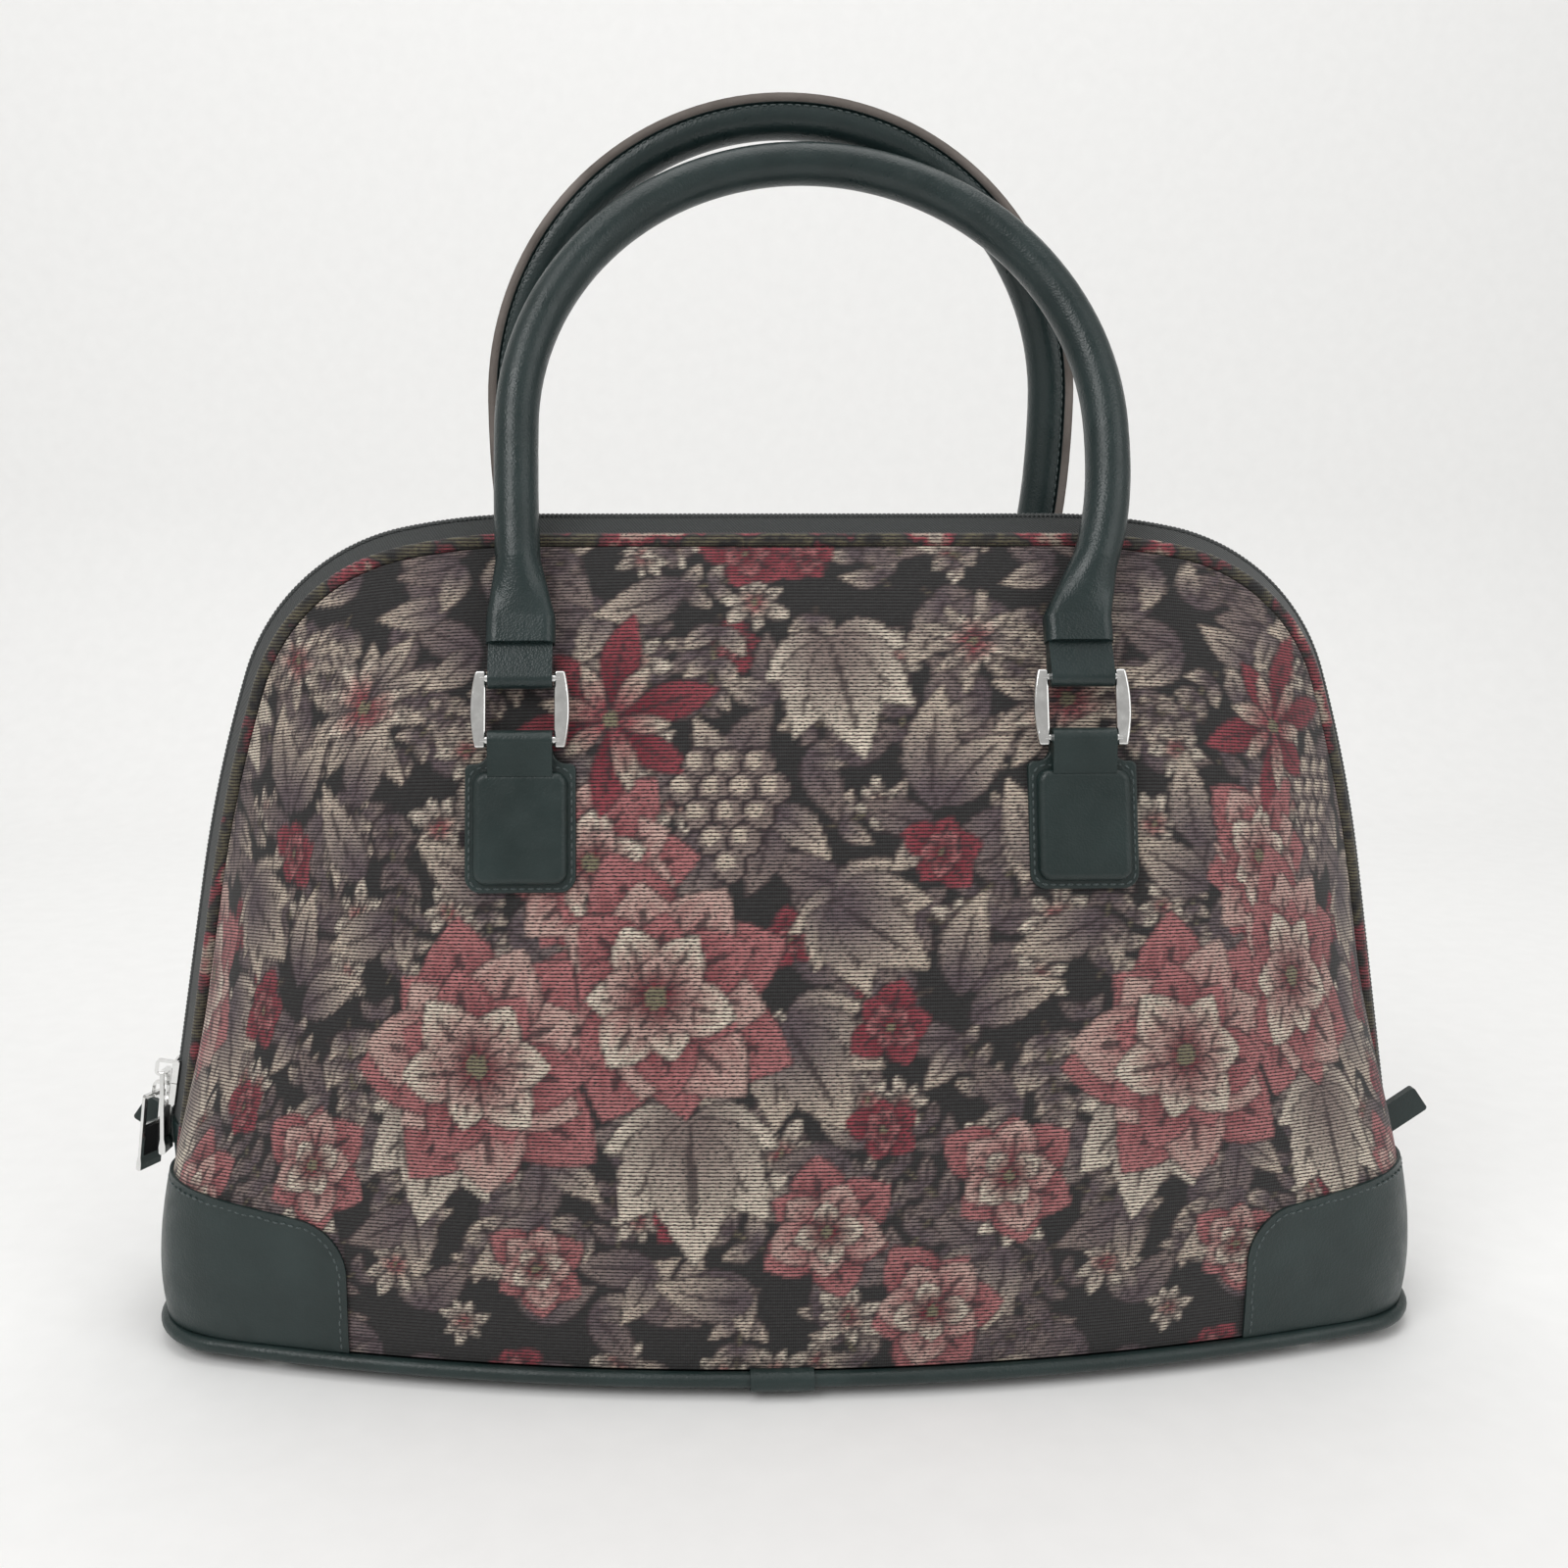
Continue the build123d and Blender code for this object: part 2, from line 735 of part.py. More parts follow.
def build_pull(frame):
    """Pull in a frame with x across it, y up from the middle of its bar and z its thickness."""
    opening = pull_width - pull_frame * 2
    label_top = -pull_frame * 3 / 2 - pull_window
    bottom = pull_frame / 2 - pull_length
    half = pull_thickness / 2
    foot_half = pull_foot_thickness / 2
    with BuildPart() as pull:
        with BuildSketch(frame):
            with Locations((0, bottom + pull_length / 2)):
                RectangleRounded(pull_width, pull_length, pull_corner)
            with Locations((0, -pull_frame / 2)):
                Rectangle(opening, pull_window, align=(Align.CENTER, Align.MAX), mode=Mode.SUBTRACT)
            with Locations((0, label_top)):
                Rectangle(opening, label_length, align=(Align.CENTER, Align.MAX), mode=Mode.SUBTRACT)
        extrude(amount=half, both=True)
        with BuildSketch(Plane(origin=frame.origin, x_dir=frame.z_dir, z_dir=frame.x_dir * -1)):
            with BuildLine():
                Polyline(
                    (0, bottom + pull_flare),
                    (half, bottom + pull_flare),
                    (foot_half, bottom + pull_toe),
                    (foot_half, bottom + pull_heel),
                    (half, bottom),
                    (0, bottom),
                )
                mirror(about=Plane.YZ)
            make_face()
        extrude(amount=pull_width / 2, both=True)
    with BuildPart() as label:
        with BuildSketch(frame):
            with Locations((0, label_top - label_length / 2)):
                Rectangle(opening - label_gap * 2, label_length - label_gap * 2)
        extrude(amount=label_thickness / 2, both=True)
    return pull.part, label.part


# The upper pull hangs edge-on with its window round the lower crown, its foot swung
# forward. The lower pull hangs outside it, turned and tilted away.
tilt = radians(upper_pull_tilt)
upper_pull, upper_label = build_pull(
    Plane(
        origin=bar_place(upper_slider_run, upper_pull_out), x_dir=(0, -cos(tilt), sin(tilt)), z_dir=(-1, 0, 0)
    )
)
keep(upper_pull, "upper_pull")
keep(upper_label, "upper_pull_label")

turn = radians(lower_pull_turn)
lower_across = Vector(-sin(turn), -cos(turn), 0)
lower_facing = Vector(-cos(turn), sin(turn), 0) * cos(radians(lower_pull_tilt)) + Vector(
    0, 0, sin(radians(lower_pull_tilt))
)
lower_pull, lower_label = build_pull(
    Plane(
        origin=bar_place(lower_slider_run, lower_pull_out) + lower_across * lower_pull_shift,
        x_dir=lower_across,
        z_dir=lower_facing,
    )
)
keep(lower_pull, "lower_pull")
keep(lower_label, "lower_pull_label")
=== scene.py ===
# %% [markdown]
# # A tapestry carpet bag
# A carpet bag is two bowed panels of heavy woven cloth joined by a zip, on a stiff base with
# leather corners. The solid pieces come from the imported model, which is the frame here. The
# cloth, the zip's coil and the stitches are built on it from formulas.

import json
from math import asin, cos, pi, radians, sin

import bpy
import numpy as np
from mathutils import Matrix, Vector


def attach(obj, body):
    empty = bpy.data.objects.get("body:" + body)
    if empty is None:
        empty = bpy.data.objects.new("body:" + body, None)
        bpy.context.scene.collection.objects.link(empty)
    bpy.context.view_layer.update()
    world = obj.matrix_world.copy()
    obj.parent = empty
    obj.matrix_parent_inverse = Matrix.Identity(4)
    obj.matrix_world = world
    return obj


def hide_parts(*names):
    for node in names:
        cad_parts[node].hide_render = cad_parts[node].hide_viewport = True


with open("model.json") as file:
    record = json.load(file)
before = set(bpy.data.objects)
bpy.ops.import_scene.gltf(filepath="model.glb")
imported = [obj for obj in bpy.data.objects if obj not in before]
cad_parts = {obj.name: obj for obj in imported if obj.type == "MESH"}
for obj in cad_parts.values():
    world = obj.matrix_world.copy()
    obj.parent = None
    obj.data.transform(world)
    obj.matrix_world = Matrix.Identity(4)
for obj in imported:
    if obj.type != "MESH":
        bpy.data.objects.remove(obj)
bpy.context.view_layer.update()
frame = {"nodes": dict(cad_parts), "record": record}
print("pieces in the frame:", len(frame["nodes"]))

# %% [markdown]
# ## Sizes
# Lengths are in metres, in the frame of the model. The dome is the line that the zip's crest
# follows, the rim is where the cloth meets the piping, and the seam is where it meets the base.

# %% Sizes of the bag
NOSE = np.array([0.2685, 0.084])
LEAN = radians(9.6)
SIDE_OUT = np.array([cos(LEAN), sin(LEAN)])
RIM_INSET = 0.0135
RIM_Y = 0.0191
SEAM_Z = 0.0109
SKIN = 0.0018
SWELL = 0.006
CLOTH_PROUD = 0.00015
SIDE_RUN = 0.1075
HIP = (0.620, radians(8.3))
SHOULDER = (0.0906, radians(60.3))
CROWN = (0.259, radians(11.8))
BASE_HALF_LENGTH = 0.265
BASE_HALF_DEPTH = 0.088
FRONT_RADIUS = 0.907
CORNER_RADIUS = 0.034
FRONT_TURN = asin((BASE_HALF_LENGTH - CORNER_RADIUS) / (FRONT_RADIUS - CORNER_RADIUS))
PIVOT_X, PIVOT_Y, PIVOT_Z = 0.110, 0.0575, 0.257
LINK_SPACING = 0.024
ARCH_RADIUS = 0.1205
ROUND_FROM, FLAT_TO = 0.048, 0.0245


# %% [markdown]
# ## Lines made of runs and arcs
# A seam on a bag is a chain of straight runs and arcs, each tangent to the last. A point on it
# is found from its distance along the chain, which is also how cloth and teeth are spaced.

# %% Points along a chain
def along_chain(start, heading, runs, distance):
    """Place and heading at distances along a chain that starts at a point. Each run is a length
    and a turn: with no turn it is straight, and else an arc whose radius is length over turn."""
    place = np.zeros((len(distance), 2))
    facing = np.zeros(len(distance))
    x, y, travelled = start[0], start[1], 0.0
    for length, turn in runs:
        inside = distance >= travelled - 1e-9
        d = distance[inside] - travelled
        if abs(turn) < 1e-9:
            px, py, h = x + d * cos(heading), y + d * sin(heading), heading + 0 * d
            x, y = x + length * cos(heading), y + length * sin(heading)
        else:
            radius = length / turn
            h = heading + d / radius
            px, py = x + radius * (np.sin(h) - sin(heading)), y - radius * (np.cos(h) - cos(heading))
            x += radius * (sin(heading + turn) - sin(heading))
            y -= radius * (cos(heading + turn) - cos(heading))
        place[inside] = np.stack([px, py], 1)
        facing[inside] = h
        heading += turn
        travelled += length
    return place, facing


def dome_runs(inset):
    """Right half of the dome from the nose to the middle: a straight side, a slack hip, a round
    shoulder, the crown's curve and the flat top."""
    runs = [(SIDE_RUN, 0.0)] + [((radius - inset) * turn, turn) for radius, turn in (HIP, SHOULDER, CROWN)]
    start = NOSE - SIDE_OUT * inset
    end, _ = along_chain(start, pi / 2 + LEAN, runs, np.array([sum(r[0] for r in runs)]))
    return start, pi / 2 + LEAN, runs + [(end[0, 0], 0.0)]


def seam_runs():
    """Right half of the base seam from the middle of the front round to the end."""
    front = (FRONT_RADIUS - SKIN) * FRONT_TURN
    corner = (CORNER_RADIUS - SKIN) * (pi / 2 - FRONT_TURN)
    runs = [(front, FRONT_TURN), (corner, pi / 2 - FRONT_TURN)]
    start = np.array([0.0, SKIN - BASE_HALF_DEPTH])
    end, _ = along_chain(start, 0.0, runs, np.array([front + corner]))
    return start, 0.0, runs + [(-RIM_Y - end[0, 1], 0.0)]


# %% [markdown]
# ## Building a skin
# A bent piece is a grid of points: rows one way, columns the other. Four neighbours make a face.

# %% Grid skins
def grid_skin(name, points, material, uv=None, round_columns=False, flip=False):
    """Skin over a grid of points (rows, columns, 3). Every point joins the next in its row and
    the one above it, and round_columns joins the last column to the first."""
    rows, columns = points.shape[:2]
    index = np.arange(rows * columns).reshape(rows, columns)
    beside = np.roll(index, -1, axis=1) if round_columns else index[:, 1:]
    here = index if round_columns else index[:, :-1]
    quads = np.stack([here[:-1], beside[:-1], beside[1:], here[1:]], -1).reshape(-1, 4)
    if flip:
        quads = quads[:, ::-1]
    mesh = bpy.data.meshes.new(name)
    mesh.vertices.add(rows * columns)
    mesh.vertices.foreach_set("co", points.reshape(-1))
    mesh.loops.add(quads.size)
    mesh.loops.foreach_set("vertex_index", quads.reshape(-1))
    mesh.polygons.add(len(quads))
    mesh.polygons.foreach_set("loop_start", np.arange(0, quads.size, 4))
    mesh.polygons.foreach_set("use_smooth", np.ones(len(quads), bool))
    mesh.update(calc_edges=True)
    mesh.validate()
    if uv is not None:
        layer = mesh.uv_layers.new(name="cloth")
        layer.data.foreach_set("uv", uv.reshape(-1, 2)[quads.reshape(-1)].reshape(-1))
    mesh.materials.append(material)
    piece = bpy.data.objects.new(name, mesh)
    bpy.context.scene.collection.objects.link(piece)
    return piece


# %% [markdown]
# ## Materials
# Leather is a dark blue-green with a fine pebbled grain and a soft gloss. The metal is polished
# silver with faint wear. The cloth's colours come from its pattern, and its ribs from weaving.

# %% Node helpers
def material_nodes(name):
    """New material with its node tree and its surface shader."""
    material = bpy.data.materials.new(name)
    material.use_nodes = True
    tree = material.node_tree
    return material, tree, tree.nodes["Principled BSDF"]


def feed(tree, socket, value):
    """Link a socket to another, or set it to a plain value."""
    if isinstance(value, bpy.types.NodeSocket):
        tree.links.new(value, socket)
    else:
        socket.default_value = value


def node(tree, kind, **inputs):
    """New node of a kind with its inputs fed."""
    made = tree.nodes.new(kind)
    for name, value in inputs.items():
        feed(tree, made.inputs[name], value)
    return made


def mix_colour(tree, share, a, b, blend="MIX"):
    """Mix of two colours by a share."""
    mixer = tree.nodes.new("ShaderNodeMix")
    mixer.data_type = "RGBA"
    mixer.blend_type = blend
    for place, value in ((0, share), (6, a), (7, b)):
        feed(tree, mixer.inputs[place], value)
    return mixer.outputs[2]


def maths(tree, operation, a, b=0.0):
    """One arithmetic step on sockets or numbers."""
    made = tree.nodes.new("ShaderNodeMath")
    made.operation = operation
    feed(tree, made.inputs[0], a)
    feed(tree, made.inputs[1], b)
    return made.outputs[0]


def ramp(tree, share, stops):
    """Colours at places from 0 to 1, read at a share."""
    made = tree.nodes.new("ShaderNodeValToRGB")
    tree.links.new(share, made.inputs[0])
    while len(made.color_ramp.elements) < len(stops):
        made.color_ramp.elements.new(0.5)
    for element, (place, colour) in zip(made.color_ramp.elements, stops):
        element.position = place
        element.color = (*colour, 1)
    return made.outputs[0]


def bump(tree, height, strength, distance, under=None):
    """Normal of a surface raised by a height."""
    made = node(tree, "ShaderNodeBump", Height=height, Strength=strength, Distance=distance)
    if under is not None:
        tree.links.new(under, made.inputs["Normal"])
    return made.outputs[0]


def place_on(tree):
    """The object's own coordinates, in metres."""
    return tree.nodes.new("ShaderNodeTexCoord").outputs["Object"]


# %% Leather
def leather(name, low, high, rough):
    """Pebbled leather: small cells for the grain, broad noise for the colour and wear."""
    material, tree, shader = material_nodes(name)
    where = place_on(tree)
    tone = node(tree, "ShaderNodeTexNoise", Vector=where, Scale=38.0, Detail=4.0)
    tree.links.new(ramp(tree, tone.outputs[0], [(0.3, low), (0.7, high)]), shader.inputs["Base Color"])
    cells = node(tree, "ShaderNodeTexVoronoi", Vector=where, Scale=1150.0)
    grain = node(tree, "ShaderNodeTexNoise", Vector=where, Scale=420.0, Detail=3.0)
    wear = node(tree, "ShaderNodeTexNoise", Vector=where, Scale=120.0, Detail=2.0)
    gloss = ramp(tree, wear.outputs[0], [(0.3, (rough - 0.06,) * 3), (0.7, (rough + 0.08,) * 3)])
    tree.links.new(gloss, shader.inputs["Roughness"])
    first = bump(tree, cells.outputs[0], 0.35, 0.00025)
    tree.links.new(bump(tree, grain.outputs[0], 0.3, 0.0004, first), shader.inputs["Normal"])
    shader.inputs["Specular IOR Level"].default_value = 0.45
    return material


dark_leather = leather("dark green leather", (0.008, 0.018, 0.017), (0.015, 0.029, 0.028), 0.38)
handle_leather = leather("rolled handle leather", (0.008, 0.018, 0.018), (0.014, 0.027, 0.027), 0.32)
label_leather = leather("black label leather", (0.008, 0.008, 0.009), (0.016, 0.016, 0.018), 0.5)
raw_edge = leather("raw leather edge", (0.10, 0.085, 0.075), (0.19, 0.165, 0.15), 0.75)
board_skin = leather("base board", (0.02, 0.02, 0.02), (0.03, 0.03, 0.03), 0.7)


# %% Metal
def polished_metal(name):
    """Polished silver with hairline wear in its gloss."""
    material, tree, shader = material_nodes(name)
    where = place_on(tree)
    wear = node(tree, "ShaderNodeTexNoise", Vector=where, Scale=260.0, Detail=5.0)
    gloss = ramp(tree, wear.outputs[0], [(0.3, (0.10,) * 3), (0.75, (0.24,) * 3)])
    tree.links.new(gloss, shader.inputs["Roughness"])
    tone = ramp(tree, wear.outputs[0], [(0.2, (0.66, 0.66, 0.65)), (0.8, (0.82, 0.82, 0.81))])
    tree.links.new(tone, shader.inputs["Base Color"])
    tree.links.new(bump(tree, wear.outputs[0], 0.05, 0.0002), shader.inputs["Normal"])
    shader.inputs["Metallic"].default_value = 1.0
    return material


silver = polished_metal("polished silver")


# %% Thread and zip
def thread(name, low, high, pitch, slope=0.0):
    """Twisted thread or woven tape: fine slanting bands over a soft fibre noise."""
    material, tree, shader = material_nodes(name)
    where = place_on(tree)
    split = node(tree, "ShaderNodeSeparateXYZ", Vector=where)
    lift = maths(tree, "ADD", split.outputs[2], maths(tree, "MULTIPLY", split.outputs[0], slope))
    band = maths(tree, "SINE", maths(tree, "MULTIPLY", lift, 2 * pi / pitch))
    fibre = node(tree, "ShaderNodeTexNoise", Vector=where, Scale=900.0, Detail=3.0)
    tone = maths(tree, "ADD", maths(tree, "MULTIPLY", band, 0.2), fibre.outputs[0])
    tree.links.new(ramp(tree, tone, [(0.3, low), (0.75, high)]), shader.inputs["Base Color"])
    first = bump(tree, band, 0.4, 0.0002)
    tree.links.new(bump(tree, fibre.outputs[0], 0.4, 0.0002, first), shader.inputs["Normal"])
    shader.inputs["Roughness"].default_value = 0.75
    shader.inputs["Sheen Weight"].default_value = 0.15
    return material


stitch_thread = thread("stitching thread", (0.03, 0.045, 0.045), (0.09, 0.115, 0.115), 0.0006, 0.6)
tape_weave = thread("zip tape weave", (0.003, 0.005, 0.005), (0.010, 0.015, 0.015), 0.0013, 1.0)
core_cord = thread("core cord", (0.05, 0.05, 0.05), (0.1, 0.1, 0.1), 0.002)
coil_plastic = thread("zip coil", (0.012, 0.015, 0.015), (0.03, 0.036, 0.036), 0.0007)
coil_plastic.node_tree.nodes["Principled BSDF"].inputs["Roughness"].default_value = 0.38

# %% [markdown]
# ## The tapestry
# The cloth is a dark ribbed ground with peonies, roses, lilies and leaves floated over it in
# cream, pink, crimson and olive threads. Each flower is a set of petal rings, and each leaf a
# lens about a curved rib. The pattern is drawn as a colour at every point of the cloth, and the
# shader breaks it into horizontal ribs and loose threads, as a loom does.

# %% Colours of the threads
GROUND = np.array([0.026, 0.026, 0.026])
CREAM = np.array([0.55, 0.47, 0.38])
IVORY = np.array([0.68, 0.61, 0.50])
BLUSH = np.array([0.55, 0.38, 0.33])
PINK = np.array([0.43, 0.17, 0.17])
ROSE = np.array([0.29, 0.060, 0.075])
CRIMSON = np.array([0.15, 0.016, 0.028])
MAUVE = np.array([0.125, 0.095, 0.105])
TAUPE = np.array([0.24, 0.19, 0.17])
OLIVE = np.array([0.20, 0.18, 0.115])
SHADE = np.array([0.040, 0.026, 0.030])


# %% One blade of the pattern
def blade(cloth, x, z, foot, angle, length, width, tones, bend=0.0, saw=0.0, tip=0.8, veins=5):
    """Petal or leaf, as a lens about a curved rib. Its half width is a sine of the way along,
    with a saw edge. It runs from the first tone at its foot to the second at its tip, has
    streaks of the second along it, and lies in a thin line of shade."""
    reach = length * 1.1
    near = (np.abs(x - foot[0]) < reach) & (np.abs(z - foot[1]) < reach)
    if not near.any():
        return
    dx, dz = x[near] - foot[0], z[near] - foot[1]
    s = (dx * cos(angle) + dz * sin(angle)) / length
    held = np.clip(s, 0, 1)
    w = dz * cos(angle) - dx * sin(angle) - bend * length * held * (1 - held)
    half = width / 2 * np.sin(pi * held**tip) * (1 + saw * np.abs(np.sin(held * pi * 7)))
    inside = (s > 0) & (s < 1)
    outer = np.clip(0.5 - (np.abs(w) - half - 0.0009) / 0.0012, 0, 1) * inside
    body = np.clip(0.5 - (np.abs(w) - half) / 0.0012, 0, 1) * inside
    aside = w / np.maximum(half, 1e-5)
    streak = np.clip(np.cos(aside * pi * veins + 9 * held * (1 - held)) * 1.4, 0, 1)
    share = np.clip(held**1.3 * 1.1 + 0.35 * streak * held - 0.25 * (1 - np.abs(aside)) * (1 - held), 0, 1)
    tone = tones[0] + (tones[1] - tones[0]) * share[:, None]
    tone = tone + (SHADE - tone) * (0.75 * (np.abs(aside) < 0.11) * (held < 0.75))[:, None]
    patch = cloth[near]
    patch += (SHADE - patch) * outer[:, None]
    patch += (tone - patch) * body[:, None]
    cloth[near] = patch


def leaf(cloth, x, z, foot, angle, length, width, tones, bend=0.2):
    """Leaf: a blade with a deeper saw edge and finer streaks than a petal has."""
    blade(cloth, x, z, foot, angle, length, width, tones, bend, 0.14, 0.75, 7)


# %% Flowers and leaves
def flower(cloth, x, z, centre, radius, rings, turn=0.0):
    """Flower of rings of petals, from the outer ring to the inner one. A ring is a count of
    petals, a share of the radius, the petals' plumpness, and the tones of foot and tip."""
    for level, (count, share, plump, tones) in enumerate(rings):
        for petal in range(count):
            angle = turn + 2 * pi * (petal + 0.5 * level) / count + 0.16 * sin(5.0 * petal + level)
            length = radius * share * (1 + 0.13 * sin(3.7 * petal + 2 * level + turn))
            foot = (centre[0] + 0.05 * length * cos(angle), centre[1] + 0.05 * length * sin(angle))
            bend = 0.16 * sin(2.3 * petal + turn)
            blade(cloth, x, z, foot, angle, length, length * plump, tones, bend, 0.05, 1.15, 4)
    reach = np.hypot(x - centre[0], z - centre[1])
    cloth[reach < radius * 0.09] = OLIVE


def spray(cloth, x, z, foot, angle, length, count, tones):
    """Stem with leaves in pairs that shorten toward its tip."""
    blade(cloth, x, z, foot, angle, length, length * 0.03, (OLIVE, OLIVE))
    for step in range(count):
        share = (step + 0.5) / count
        at = (foot[0] + length * share * cos(angle), foot[1] + length * share * sin(angle))
        size = length * 0.46 * (1 - 0.4 * share)
        for side in (-1, 1):
            leaf(cloth, x, z, at, angle + side * radians(50), size, size * 0.44, tones, side * 0.15)


def vine_leaf(cloth, x, z, foot, angle, length, tones):
    """Broad leaf of five lobes fanned from its stalk, the middle lobe the longest."""
    for turn, share in ((-1.25, 0.62), (1.25, 0.62), (-0.62, 0.85), (0.62, 0.85), (0, 1.0)):
        leaf(cloth, x, z, foot, angle + turn, length * share, length * share * 0.52, tones, 0.12 * turn)


def grapes(cloth, x, z, centre, radius):
    """Bunch of round berries in rows, each pale toward its upper left."""
    for row, count in enumerate((3, 4, 3, 2, 1)):
        for column in range(count):
            cx = centre[0] + (column - (count - 1) / 2) * radius * 1.75
            cz = centre[1] - row * radius * 1.5
            reach = np.hypot(x - cx, z - cz)
            cloth[reach < radius * 1.1] = SHADE
            cloth[reach < radius * 0.92] = TAUPE
            cloth[np.hypot(x - cx + radius * 0.25, z - cz - radius * 0.25) < radius * 0.5] = CREAM


# %% Layout of the pattern
PEONY = (
    (8, 1.0, 0.60, (CRIMSON, PINK)),
    (7, 0.88, 0.62, (ROSE, BLUSH)),
    (7, 0.72, 0.64, (CRIMSON, PINK)),
    (6, 0.56, 0.66, (ROSE, IVORY)),
    (5, 0.36, 0.75, (CRIMSON, BLUSH)),
)
LILY = ((6, 1.0, 0.34, (CRIMSON, ROSE)), (6, 0.66, 0.30, (ROSE, CREAM)))
STAR = ((10, 1.0, 0.26, (MAUVE, CREAM)), (8, 0.62, 0.30, (ROSE, IVORY)))
SMALL = ((5, 1.0, 0.80, (CRIMSON, ROSE)), (5, 0.55, 0.8, (CRIMSON, PINK)))
CUP = ((6, 1.0, 0.72, (CRIMSON, PINK)), (5, 0.78, 0.78, (ROSE, BLUSH)), (4, 0.5, 0.8, (CRIMSON, IVORY)))
SPRIG = ((7, 1.0, 0.40, (TAUPE, IVORY)), (5, 0.5, 0.5, (ROSE, CREAM)))
REPEAT = 0.283
STRIPS, TUFTS = 17, 13
PALE_LEAF, GREY_LEAF, DIM_LEAF = (TAUPE, IVORY), (MAUVE, CREAM), (MAUVE, TAUPE)


def ground_leaves(cloth, x, z, shift):
    """Leaves, sprays and sprigs that fill the ground. They stand on a grid of even places,
    each moved a little by seeded chance, and turned any way."""
    dice = np.random.default_rng(11)
    for row in range(STRIPS):
        for column in range(TUFTS):
            across = (column + 0.5 * (row % 2) + dice.uniform(-0.3, 0.3)) / TUFTS
            foot = (shift - REPEAT / 2 + REPEAT * across, 0.012 + 0.0218 * (row + dice.uniform(-0.3, 0.3)))
            angle, kind, size = dice.uniform(0, 2 * pi), dice.random(), dice.uniform(0.8, 1.25)
            if kind < 0.4:
                leaf(cloth, x, z, foot, angle, 0.030 * size, 0.013 * size, DIM_LEAF)
                leaf(cloth, x, z, foot, angle + 1.1, 0.026 * size, 0.011 * size, GREY_LEAF)
            elif kind < 0.8:
                spray(cloth, x, z, foot, angle, 0.032 * size, 3, GREY_LEAF if kind < 0.6 else DIM_LEAF)
            else:
                flower(cloth, x, z, foot, 0.0115 * size, SPRIG if kind < 0.92 else SMALL, angle)


def tapestry(x, z):
    """Colour of the cloth at places across and up the panel. The ground's leaves come first,
    then large leaves, then flowers, and all of them repeat across the panel."""
    cloth = np.tile(GROUND, (len(x), 1))
    for shift in (-REPEAT, 0.0, REPEAT):
        ground_leaves(cloth, x, z, shift)
    for shift in (-REPEAT, 0.0, REPEAT):
        vine_leaf(cloth, x, z, (shift - 0.045, 0.112), radians(-88), 0.058, PALE_LEAF)
        vine_leaf(cloth, x, z, (shift + 0.140, 0.118), radians(-100), 0.052, PALE_LEAF)
        vine_leaf(cloth, x, z, (shift + 0.012, 0.300), radians(-75), 0.050, PALE_LEAF)
        vine_leaf(cloth, x, z, (shift + 0.012, 0.196), radians(-35), 0.045, GREY_LEAF)
        vine_leaf(cloth, x, z, (shift - 0.008, 0.150), radians(-60), 0.050, GREY_LEAF)
        for fx, fz, angle, length in (
            (0.052, 0.232, 85, 0.050),
            (0.056, 0.234, 45, 0.040),
            (0.060, 0.160, 75, 0.042),
            (0.064, 0.150, 20, 0.040),
            (-0.115, 0.200, 150, 0.044),
            (-0.120, 0.216, 100, 0.042),
            (-0.185, 0.235, 60, 0.042),
            (-0.180, 0.205, 120, 0.046),
            (-0.165, 0.190, 200, 0.040),
            (-0.100, 0.075, 220, 0.042),
            (-0.020, 0.040, 170, 0.040),
            (0.078, 0.060, 260, 0.036),
            (-0.045, 0.325, 200, 0.040),
            (0.060, 0.320, 240, 0.036),
        ):
            leaf(cloth, x, z, (shift + fx, fz), radians(angle), length, length * 0.42, GREY_LEAF, 0.25)
        flower(cloth, x, z, (shift - 0.083, 0.212), 0.036, PEONY, 0.9)
        flower(cloth, x, z, (shift - 0.058, 0.160), 0.050, PEONY, 0.4)
        flower(cloth, x, z, (shift - 0.128, 0.132), 0.050, PEONY, 1.7)
        flower(cloth, x, z, (shift - 0.075, 0.268), 0.038, LILY, 1.35)
        flower(cloth, x, z, (shift + 0.106, 0.276), 0.032, STAR, 0.9)
        flower(cloth, x, z, (shift + 0.070, 0.300), 0.020, STAR, 0.2)
        grapes(cloth, x, z, (shift - 0.029, 0.250), 0.0066)
        flower(cloth, x, z, (shift + 0.054, 0.215), 0.015, SMALL, 0.2)
        flower(cloth, x, z, (shift + 0.033, 0.148), 0.016, SMALL, 1.3)
        flower(cloth, x, z, (shift + 0.030, 0.108), 0.013, SMALL, 0.5)
        flower(cloth, x, z, (shift + 0.080, 0.088), 0.026, CUP, 0.6)
        flower(cloth, x, z, (shift + 0.008, 0.068), 0.026, CUP, 1.7)
        flower(cloth, x, z, (shift + 0.050, 0.034), 0.027, CUP, 0.1)
        flower(cloth, x, z, (shift - 0.105, 0.052), 0.019, CUP, 0.5)
        flower(cloth, x, z, (shift - 0.020, 0.338), 0.017, SMALL, 0.5)
    grain = np.random.default_rng(7).normal(0, 0.10, len(x))
    return np.clip(cloth * (1 + grain[:, None]), 0, 1)


